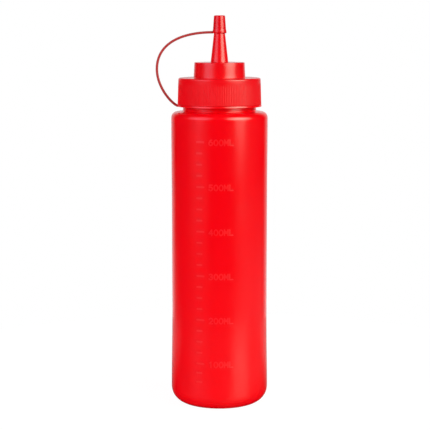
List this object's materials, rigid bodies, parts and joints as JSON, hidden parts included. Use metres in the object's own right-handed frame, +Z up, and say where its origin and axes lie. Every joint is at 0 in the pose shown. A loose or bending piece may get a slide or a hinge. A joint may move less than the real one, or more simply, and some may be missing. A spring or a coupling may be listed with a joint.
{
  "type": "sauce squeeze bottle",
  "caption": "Cylindrical squeeze bottle for sauce with a measuring scale, a ribbed screw cap, a tapered spout and a tip cap held by a strap.",
  "frame": {"origin": "centre of the foot ring that the bottle stands on, on its axis", "axes": "+Z up along the bottle's axis to the tip cap; -Y is the front, with the measuring scale; the strap's loop stands out to -X"},
  "size_m": [0.0779, 0.0676, 0.2713],
  "materials": {
    "bottle_ldpe": "satin red low-density polyethylene, blow moulded",
    "cap_ldpe": "satin red polyethylene, injection moulded, with a ribbed skirt",
    "strap_ldpe": "satin red soft polyethylene, injection moulded"
  },
  "bodies": {
    "root": {"bottle": "bottle_ldpe", "screw_cap": "cap_ldpe", "tip_cap": "strap_ldpe"}
  },
  "joints": []
}
